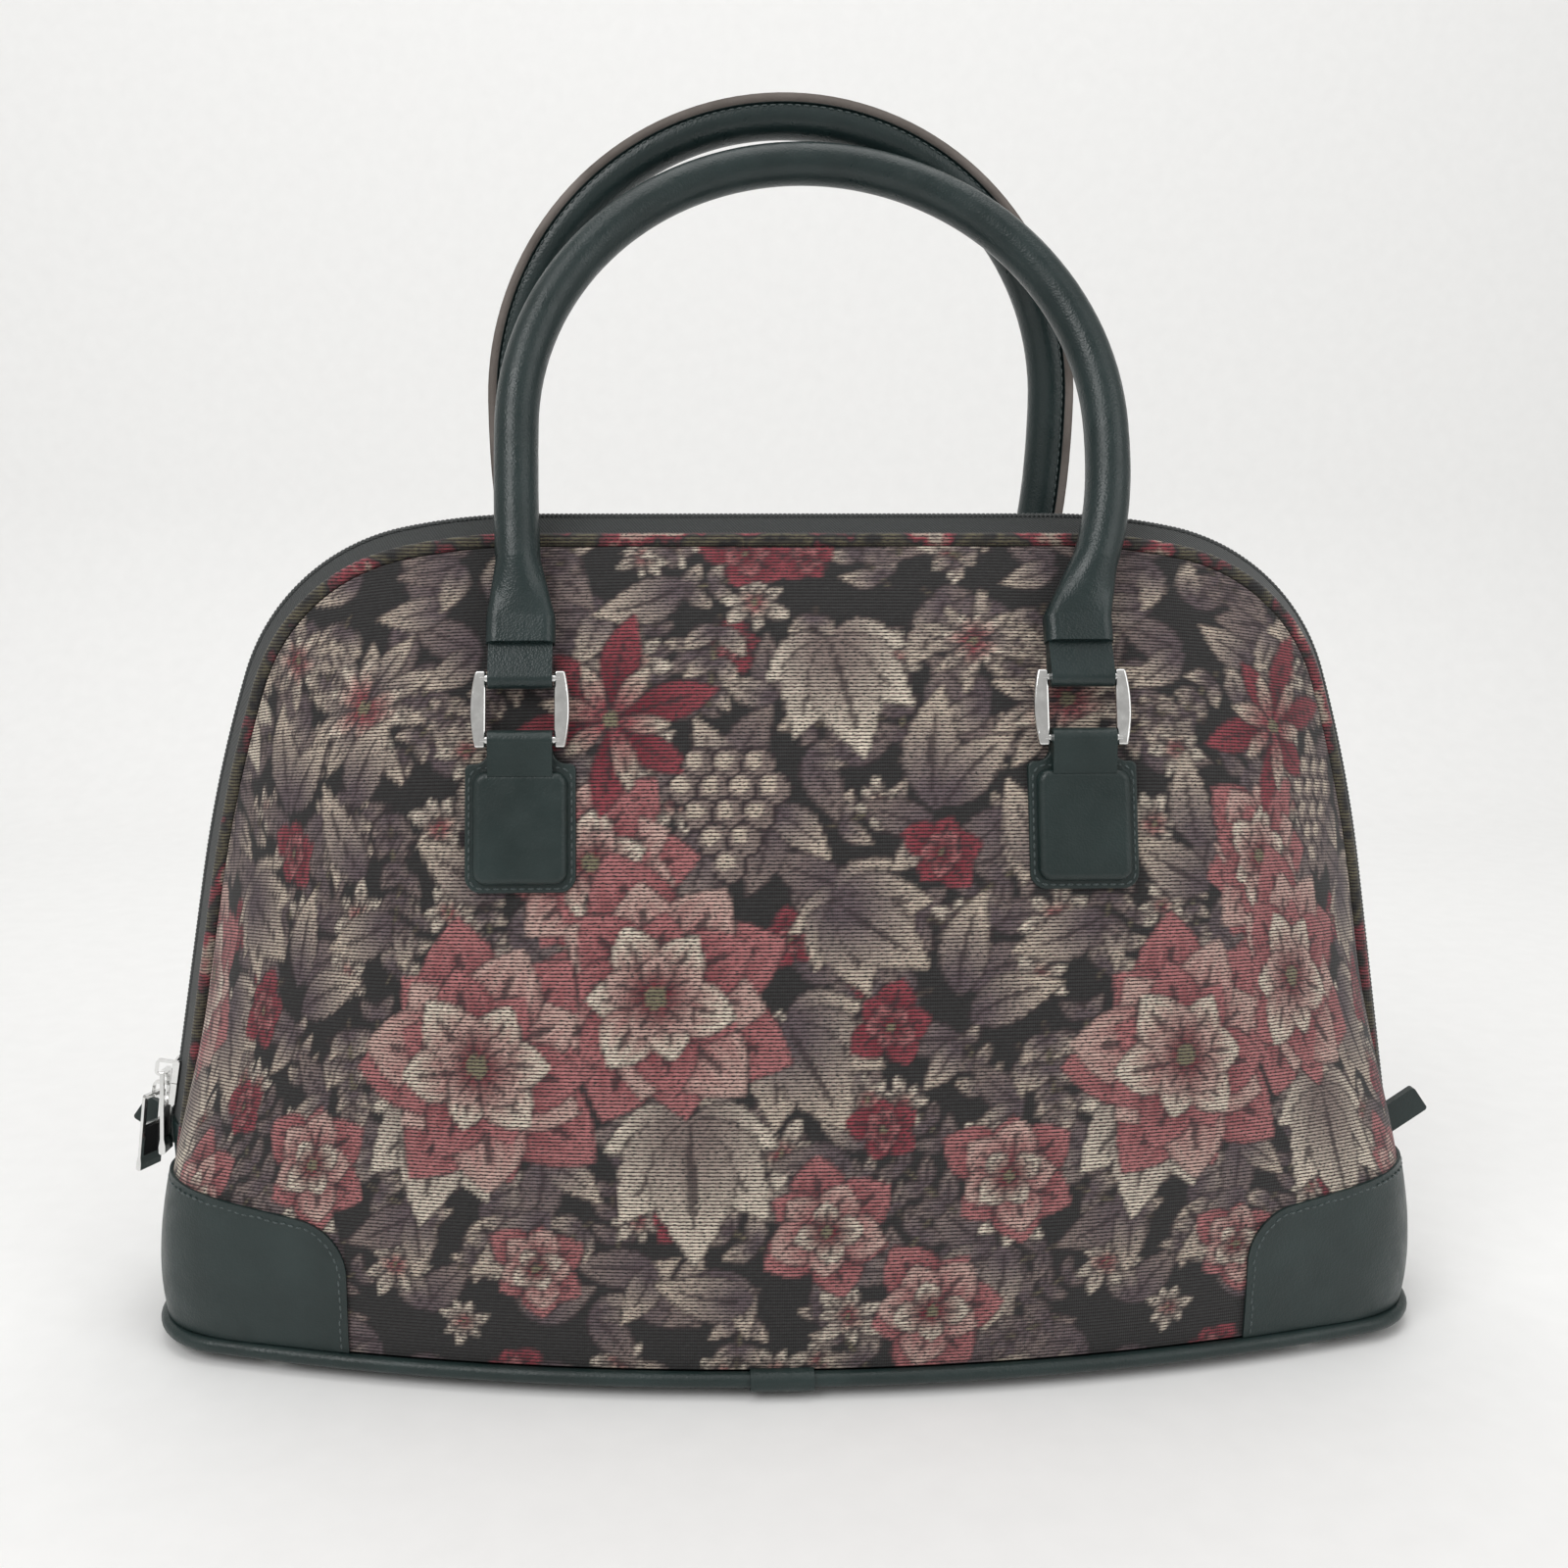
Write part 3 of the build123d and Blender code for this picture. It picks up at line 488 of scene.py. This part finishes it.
# %% Weave
def weave(name, colour_from_cloth):
    """Ribbed cloth. Horizontal ribs follow the cloth's height, short floats of thread cross
    them, and the ground shows between the floats. The colour is darkened in the valleys
    between the ribs as painted shade."""
    material, tree, shader = material_nodes(name)
    if colour_from_cloth:
        where = tree.nodes.new("ShaderNodeUVMap")
        where.uv_map = "cloth"
        where = where.outputs[0]
        design = tree.nodes.new("ShaderNodeAttribute")
        design.attribute_name = "design"
        colour = design.outputs["Color"]
        split = node(tree, "ShaderNodeSeparateXYZ", Vector=where)
        across, up = split.outputs[0], split.outputs[1]
    else:
        where = place_on(tree)
        split = node(tree, "ShaderNodeSeparateXYZ", Vector=where)
        across, up = split.outputs[0], split.outputs[2]
        patch = node(tree, "ShaderNodeTexNoise", Vector=where, Scale=44.0, Detail=3.0)
        colour = ramp(
            tree,
            patch.outputs[0],
            [
                (0.36, tuple(GROUND)),
                (0.44, tuple(OLIVE * 0.6)),
                (0.50, tuple(GROUND * 1.5)),
                (0.56, tuple(ROSE)),
                (0.62, tuple(CREAM * 0.8)),
                (0.70, tuple(MAUVE)),
            ],
        )
    stretched = node(
        tree,
        "ShaderNodeCombineXYZ",
        X=maths(tree, "MULTIPLY", across, 620.0),
        Y=maths(tree, "MULTIPLY", up, 1900.0),
    )
    floats = node(tree, "ShaderNodeTexNoise", Vector=stretched.outputs[0], Scale=1.0, Detail=2.0)
    rib = maths(tree, "SINE", maths(tree, "MULTIPLY", up, 2 * pi / 0.0014))
    warp = maths(tree, "SINE", maths(tree, "MULTIPLY", across, 2 * pi / 0.0009))
    shown = maths(tree, "ADD", maths(tree, "MULTIPLY", rib, 0.10), floats.outputs[0])
    gaps = ramp(tree, shown, [(0.36, (1.0,) * 3), (0.50, (0.0,) * 3)])
    woven = mix_colour(tree, gaps, colour, (*(GROUND * 1.5), 1))
    # Painted shade: the colour is darkened in the valleys between the ribs.
    valley = maths(tree, "ADD", maths(tree, "MULTIPLY", rib, 0.5), 0.5)
    shadow = ramp(tree, valley, [(0.05, (0.30, 0.22, 0.24)), (0.55, (1.0,) * 3)])
    tree.links.new(mix_colour(tree, 1.0, woven, shadow, "MULTIPLY"), shader.inputs["Base Color"])
    height = maths(tree, "ADD", rib, maths(tree, "MULTIPLY", warp, 0.35))
    first = bump(tree, height, 0.45, 0.00022)
    tree.links.new(bump(tree, floats.outputs[0], 0.35, 0.00025, first), shader.inputs["Normal"])
    shader.inputs["Roughness"].default_value = 0.82
    shader.inputs["Sheen Weight"].default_value = 0.18
    shader.inputs["Specular IOR Level"].default_value = 0.25
    return material


tapestry_cloth = weave("floral tapestry", True)
piping_cloth = weave("tapestry on the piping", False)
print("materials:", len(bpy.data.materials))

# %% [markdown]
# ## The bowed panels
# Each panel is cut as a dome and pulled tight over the bag. Its ribs rise from the base seam
# and lean in to the piping. A rib is a Bezier curve with four corners: the foot, a belly pushed
# outward, a brow and the top.


# %% Panels
def panel_points(columns, rows):
    """Grid of a front panel, rows from the seam to the rim and columns from left to right."""
    share = np.abs(np.linspace(-1, 1, columns))
    side = np.sign(np.linspace(-1, 1, columns))
    start, heading, runs = dome_runs(RIM_INSET)
    rim_length = sum(r[0] for r in runs)
    top, _ = along_chain(start, heading, runs, (1 - share) * rim_length)
    start, heading, runs = seam_runs()
    seam_length = sum(r[0] for r in runs)
    foot, facing = along_chain(start, heading, runs, share * seam_length)
    outward = np.stack([np.sin(facing), -np.cos(facing), 0 * facing], 1)
    foot = np.stack([foot[:, 0], foot[:, 1], np.full(columns, SEAM_Z)], 1)
    top = np.stack([top[:, 0], np.full(columns, -RIM_Y), top[:, 1]], 1)
    rise = (top[:, 2] - foot[:, 2])[:, None]
    spread = (foot - top) * [1, 1, 0]
    up = np.array([0.0, 0.0, 1.0])
    belly = foot + up * 0.34 * rise + outward * SWELL
    brow = top + spread * 0.66 - up * 0.2 * rise
    t = np.linspace(0, 1, rows)[:, None, None]
    s = 1 - t
    points = s**3 * foot + 3 * t * s**2 * belly + 3 * t**2 * s * brow + t**3 * top
    points[:, :, 0] *= side
    return points


def cloth_panel(name, node_name, mirrored):
    """Panel of tapestry with its pattern and a map in metres across and up the cloth, measured along
    the cloth from the middle of each row and from the seam."""
    columns, rows = 398, 250
    points = panel_points(columns, rows)
    along = np.linalg.norm(np.diff(points, axis=0), axis=2)
    height = np.concatenate([np.zeros((1, points.shape[1])), np.cumsum(along, axis=0)])
    beside = np.linalg.norm(np.diff(points, axis=1), axis=2)
    across = np.concatenate([np.zeros((points.shape[0], 1)), np.cumsum(beside, axis=1)], 1)
    across -= across[:, -1:] / 2
    design = tapestry(across.reshape(-1), (SEAM_Z + height).reshape(-1))
    normal = np.cross(np.gradient(points, axis=1), np.gradient(points, axis=0))
    normal /= np.linalg.norm(normal, axis=2, keepdims=True)
    points = points + normal * CLOTH_PROUD
    uv = np.stack([across, height], -1)
    if mirrored:
        points = points * [-1, -1, 1]
    panel = grid_skin(name, points, tapestry_cloth, uv=uv)
    layer = panel.data.color_attributes.new("design", "FLOAT_COLOR", "POINT")
    layer.data.foreach_set("color", np.column_stack([design, np.ones(len(design))]).reshape(-1))
    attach(panel, "bag")
    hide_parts(node_name)


cloth_panel("front_tapestry", "front_panel", False)
cloth_panel("rear_tapestry", "rear_panel", True)

# %% [markdown]
# ## The zip
# The zip's teeth are a moulded coil, wound back and forth. Seen from a step away it is a cord
# with a tooth every 1.9 mm, so its radius swells and shrinks along the dome.


# %% Coil of the zip
def zip_coil():
    """Tube along the dome's crest whose radius follows a rounded tooth wave."""
    start, heading, runs = dome_runs(0.0015)
    length = sum(r[0] for r in runs)
    steps = 2600
    half, facing = along_chain(start, heading, runs, np.linspace(0, length, steps))
    middle = np.concatenate([half, half[-2::-1] * [-1, 1]])
    facing = np.concatenate([facing, 2 * pi - facing[-2::-1]])
    travelled = np.linspace(0, 2 * length, len(middle))
    tooth = np.abs(np.sin(travelled * pi / 0.0019)) ** 0.6
    radius = 0.00098 + 0.0004 * tooth
    outward = np.stack([np.sin(facing), 0 * facing, -np.cos(facing)], 1)
    aside = np.array([0.0, 1.0, 0.0])
    turn = np.linspace(0, 2 * pi, 10, endpoint=False)[None, :, None]
    centre = np.stack([middle[:, 0], 0 * facing, middle[:, 1]], 1)[:, None, :]
    ring = np.cos(turn) * outward[:, None, :] + np.sin(turn) * aside
    points = centre + ring * radius[:, None, None]
    points[0], points[-1] = centre[0], centre[-1]
    coil = grid_skin("zip_coil_teeth", points, coil_plastic, round_columns=True, flip=True)
    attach(coil, "bag")
    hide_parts("zip_coil")
    return coil


coil = zip_coil()
print("zip coil faces:", len(coil.data.polygons))

# %% [markdown]
# ## Stitches
# A stitch is a short thread lying on the leather, its ends drawn into their holes. Each is a
# small stretched bead, and a row of them is spaced by distance along a line.


# %% Rows of stitches
def spaced(line, pitch):
    """Points and directions at even distances along a line of points."""
    step = np.linalg.norm(np.diff(line, axis=0), axis=1)
    travelled = np.concatenate([[0], np.cumsum(step)])
    count = max(int(travelled[-1] / pitch), 2)
    at = (np.arange(count) + 0.5) * travelled[-1] / count
    place = np.stack([np.interp(at, travelled, line[:, k]) for k in range(3)], 1)
    ahead = np.stack([np.interp(at + pitch * 0.3, travelled, line[:, k]) for k in range(3)], 1)
    back = np.stack([np.interp(at - pitch * 0.3, travelled, line[:, k]) for k in range(3)], 1)
    heading = ahead - back
    return place, heading / np.linalg.norm(heading, axis=1, keepdims=True)


def stitch_row(name, line, raised, body, pitch=0.0033, length=0.0024, thickness=0.00042):
    """Row of beads: each is a ball stretched along the line and set half into the surface.
    raised is the direction out of the surface, one for the row or one for each point."""
    place, heading = spaced(line, pitch)
    count = len(place)
    raised = np.broadcast_to(raised, (count, 3)) if np.ndim(raised) == 1 else raised
    aside = np.cross(heading, raised)
    aside /= np.linalg.norm(aside, axis=1, keepdims=True)
    rise = np.cross(aside, heading)
    rings, sides = 7, 6
    fall = np.linspace(0, pi, rings)
    turn = np.linspace(0, 2 * pi, sides, endpoint=False)
    ball = np.stack(
        [
            np.broadcast_to(np.cos(fall)[:, None], (rings, sides)) * length / 2,
            np.sin(fall)[:, None] * np.cos(turn) * thickness,
            np.sin(fall)[:, None] * np.sin(turn) * thickness,
        ],
        -1,
    )
    axes = np.stack([heading, aside, rise], 1)
    beads = place[:, None, None, :] + np.einsum("rck,nkj->nrcj", ball, axes)
    index = np.arange(count * rings * sides).reshape(count, rings, sides)
    beside = np.roll(index, -1, axis=2)
    quads = np.stack([index[:, :-1], index[:, 1:], beside[:, 1:], beside[:, :-1]], -1).reshape(-1, 4)
    mesh = bpy.data.meshes.new(name)
    mesh.from_pydata(beads.reshape(-1, 3), [], quads)
    mesh.polygons.foreach_set("use_smooth", np.ones(len(quads), bool))
    mesh.materials.append(stitch_thread)
    row = bpy.data.objects.new(name, mesh)
    bpy.context.scene.collection.objects.link(row)
    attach(row, body)


def rounded_box(half_width, low, high, radius, count=14):
    """Closed line round a box with round corners, in the plane of the box."""
    corners = (
        (half_width - radius, high - radius, 0),
        (radius - half_width, high - radius, 90),
        (radius - half_width, low + radius, 180),
        (half_width - radius, low + radius, 270),
    )
    parts = []
    for cx, cy, turn in corners:
        angle = np.radians(np.linspace(turn, turn + 90, count))
        parts.append(np.stack([cx + radius * np.cos(angle), cy + radius * np.sin(angle)], 1))
    line = np.concatenate(parts)
    return np.concatenate([line, line[:1]])


# %% [markdown]
# ## Stitches of the chapes
# A chape is the padded tab that carries a link. Its rim is stitched down all round the pad.

# %% Chapes
CHAPE_LEAN = radians(12)
for end, ey in (("front", 1), ("rear", -1)):
    for hand, hx in (("right", 1), ("left", -1)):
        up = np.array([0, ey * sin(CHAPE_LEAN), cos(CHAPE_LEAN)])
        out = np.array([0, -ey * cos(CHAPE_LEAN), sin(CHAPE_LEAN)])
        middle = np.array([hx * PIVOT_X, -ey * PIVOT_Y, PIVOT_Z]) - out * 0.0020
        flat = rounded_box(0.0198, -0.0573, -0.0107, 0.005)
        line = middle + flat[:, :1] * [1, 0, 0] + flat[:, 1:] * up + out * 0.0001
        stitch_row(f"{end}_{hand}_chape_stitches", line, out, "bag")
print("rows of stitches on the chapes: 4")

# %% [markdown]
# ## Stitches of the corner patches
# Each corner patch is sewn to the cloth 2.6 mm inside its free edge. The line of the seam is
# set out flat, seen from the front, and carried onto the bowed panel.


# %% Corner patches
def on_panel(x, z, height):
    """Places on a front panel, raised by a height, found from the nearest points of its grid."""
    points = panel_points(721, 241)
    normal = np.cross(np.gradient(points, axis=1), np.gradient(points, axis=0))
    normal /= np.linalg.norm(normal, axis=2, keepdims=True)
    flat, lift = points.reshape(-1, 3), normal.reshape(-1, 3)
    keep = flat[:, 0] > 0.15
    flat, lift = flat[keep], lift[keep]
    gap = (flat[None, :, 0] - x[:, None]) ** 2 + (flat[None, :, 2] - z[:, None]) ** 2
    nearest = np.argmin(gap, axis=1)
    return flat[nearest] + lift[nearest] * height, lift[nearest]


def patch_line(inside, count=90):
    """Free edge of a right corner patch moved inside it: up the inner side, round the corner
    and along the top."""
    inner, shoulder = 0.181 + inside, SEAM_Z + 0.052 - inside
    slope = np.arctan2(0.014, 0.1095)
    radius = 0.022 - inside
    bend = (pi / 2 - slope) / 2
    reach = radius * np.tan(bend)
    centre = np.array([inner + radius, shoulder - reach])
    angle = np.linspace(pi, pi / 2 + slope, 24)
    arc = centre + radius * np.stack([np.cos(angle), np.sin(angle)], 1)
    rise = np.array([[inner, SEAM_Z + 0.001], [inner, centre[1]]])
    run = arc[-1] + np.linspace(0.0005, 0.0665, 30)[:, None] * [cos(slope), sin(slope)]
    line = np.concatenate([rise, arc[1:], run])
    step = np.concatenate([[0], np.cumsum(np.linalg.norm(np.diff(line, axis=0), axis=1))])
    at = np.linspace(0, step[-1], count)
    return np.interp(at, step, line[:, 0]), np.interp(at, step, line[:, 1])


seam_x, seam_z = patch_line(0.0026)
PANEL_END, PATCH_FACE, PATCH_PITCH = 0.2585, 0.00165, 0.0034
seam_x = np.minimum(seam_x, PANEL_END)
patch_seam, patch_out = on_panel(seam_x, seam_z, PATCH_FACE)
for end, ey in (("front", 1), ("rear", -1)):
    for hand, hx in (("right", 1), ("left", -1)):
        flip = np.array([hx, ey, 1])
        place, _ = spaced(patch_seam, PATCH_PITCH)
        near = np.argmin(((patch_seam[None] - place[:, None]) ** 2).sum(-1), axis=1)
        row_name = f"{end}_{hand}_patch_stitches"
        stitch_row(row_name, patch_seam * flip, patch_out[near] * flip, "bag", pitch=PATCH_PITCH)
print("rows of stitches on the patches: 4")

# %% [markdown]
# ## The rolled handles
# A handle is a strip of leather rolled round a cord and sewn along its outer rim. The edges of
# the strip stay raw there, and show as a pale band on the side that faces the bag's middle.


# %% Handle seams
def handle_line(lean, link_lean, rise, sway, outer, toward):
    """Line along a handle from its right leg to its left, moved out along its radius and
    toward the middle of the bag."""
    bar = np.array([0, -PIVOT_Y + LINK_SPACING * sin(link_lean), PIVOT_Z + LINK_SPACING * cos(link_lean)])
    up = np.array([0, sin(lean), cos(lean)])
    inward = np.array([0, cos(lean), -sin(lean)])

    def leg(side):
        foot_x, spring_x = side * PIVOT_X, side * ARCH_RADIUS + sway
        round_x = foot_x + (spring_x - foot_x) * 0.5
        ease = (round_x + (round_x - foot_x) * 0.7, ROUND_FROM + (ROUND_FROM - FLAT_TO) * 0.7)
        corners = np.array([(round_x, ROUND_FROM), ease, (spring_x, rise - 0.025), (spring_x, rise)])
        t = np.linspace(0, 1, 40)[:, None]
        s = 1 - t
        return s**3 * corners[0] + 3 * t * s**2 * corners[1] + 3 * t**2 * s * corners[2] + t**3 * corners[3]

    angle = np.linspace(0, pi, 160)[1:-1]
    arch = np.stack([sway + ARCH_RADIUS * np.cos(angle), rise + ARCH_RADIUS * np.sin(angle)], 1)
    flat = np.concatenate([leg(1), arch, leg(-1)[::-1]])
    ahead = np.gradient(flat, axis=0)
    ahead /= np.linalg.norm(ahead, axis=1, keepdims=True)
    flat = flat + outer * np.stack([ahead[:, 1], -ahead[:, 0]], 1)
    return bar + flat[:, :1] * [1, 0, 0] + flat[:, 1:] * up + inward * toward, inward


HANDLES = (
    ("front", radians(22.0), radians(14), 0.1066, 0.0075, 1),
    ("rear", radians(1.5), radians(7), 0.1115, 0.0, -1),
)
BAND_IN, BAND_OUT, BAND_FACE, BAND_BACK = 0.0054, 0.00895, 0.00868, 0.00840
BAND_CORNERS = (
    (BAND_IN, BAND_BACK),
    (BAND_IN, BAND_FACE),
    (BAND_OUT, BAND_FACE),
    (BAND_OUT, BAND_BACK),
    (BAND_IN, BAND_BACK),
)
for end, lean, link_lean, rise, sway, ey in HANDLES:
    flip = np.array([1, ey, 1])
    band = np.stack([handle_line(lean, link_lean, rise, sway, *corner)[0] for corner in BAND_CORNERS]) * flip
    edge_band = grid_skin(f"{end}_handle_raw_edge", band, raw_edge, flip=ey < 0)
    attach(edge_band, f"{end}_handle")
    line, inward = handle_line(lean, link_lean, rise, sway, 0.0040, 0.00815)
    row_name, body = f"{end}_handle_stitches", f"{end}_handle"
    stitch_row(row_name, line * flip, inward * flip, body, pitch=0.0036, length=0.0026)
print("seams on the handles: 2")

# %% [markdown]
# ## Materials of the solid pieces
# The pieces that the model already gives keep their form and take these finishes.

# %% Finishes
FINISHES = {
    "leather": dark_leather,
    "handle_leather": handle_leather,
    "pull_label": label_leather,
    "board": board_skin,
    "silver": silver,
    "zip_tape": tape_weave,
    "zip_coil": coil_plastic,
    "core": core_cord,
    "piping": piping_cloth,
    "fabric": piping_cloth,
}
slots = {part["node"]: part["material_slot"] for part in frame["record"]["subparts"]}
for name, piece in frame["nodes"].items():
    piece.data.materials.clear()
    piece.data.materials.append(FINISHES[slots[name]])
print("finished pieces:", len(frame["nodes"]))

# %% [markdown]
# ## Room, light and camera
# The bag stands on a pale table before a pale wall, in soft light from above and the left.

# %% Table and wall
def sweep_backdrop():
    """Table that curves up into a wall: a straight run, a quarter circle and a straight rise."""
    angle = np.linspace(0, pi / 2, 24)
    curve_y = np.concatenate([[-1.4], 0.9 + 0.35 * np.sin(angle), [1.25]])
    curve_z = np.concatenate([[0.0], 0.35 - 0.35 * np.cos(angle), [2.6]])
    x = np.linspace(-2.6, 2.6, 3)
    rows = (len(curve_y), len(x))
    deep, high = (np.broadcast_to(curve[:, None], rows) for curve in (curve_y, curve_z))
    points = np.stack([np.broadcast_to(x, rows), deep, high], -1)
    material, tree, shader = material_nodes("pale paper")
    fibre = node(tree, "ShaderNodeTexNoise", Vector=place_on(tree), Scale=60.0, Detail=4.0)
    tone = ramp(tree, fibre.outputs[0], [(0.2, (0.84, 0.84, 0.835)), (0.8, (0.87, 0.87, 0.865))])
    tree.links.new(tone, shader.inputs["Base Color"])
    tree.links.new(bump(tree, fibre.outputs[0], 0.05, 0.0004), shader.inputs["Normal"])
    shader.inputs["Roughness"].default_value = 0.8
    backdrop = grid_skin("table_and_wall", points, material)


sweep_backdrop()


# %% Light
def soft_light(name, place, target, size, power):
    """Square lamp at a place, turned to a target."""
    lamp = bpy.data.lights.new(name, "AREA")
    lamp.size, lamp.energy = size, power
    holder = bpy.data.objects.new(name, lamp)
    holder.location = place
    aim = Vector(target) - Vector(place)
    holder.rotation_euler = aim.to_track_quat("-Z", "Y").to_euler()
    bpy.context.scene.collection.objects.link(holder)


soft_light("key", (-1.3, -1.5, 2.0), (0, 0, 0.2), 1.4, 27)
soft_light("fill", (1.7, -1.3, 1.3), (0, 0, 0.2), 1.6, 11)
soft_light("top", (0.1, 0.1, 2.3), (0, 0.1, 0), 1.8, 17)
world = bpy.data.worlds.new("room")
bpy.context.scene.world = world
world.use_nodes = True
world.node_tree.nodes["Background"].inputs[0].default_value = (1.0, 0.99, 0.97, 1)
world.node_tree.nodes["Background"].inputs[1].default_value = 0.5

# %% Camera
camera_data = bpy.data.cameras.new("camera")
camera_data.lens = 35.48
camera_data.sensor_width = 36.0
camera_data.shift_x = 0.062
camera_data.shift_y = -0.049
camera = bpy.data.objects.new("camera", camera_data)
camera.location = (-0.064, -0.650, 0.353)
camera.rotation_euler = (radians(90 - 8.0), 0.0, radians(-1.8))
bpy.context.scene.collection.objects.link(camera)
bpy.context.scene.camera = camera
bpy.context.scene.view_settings.view_transform = "Standard"
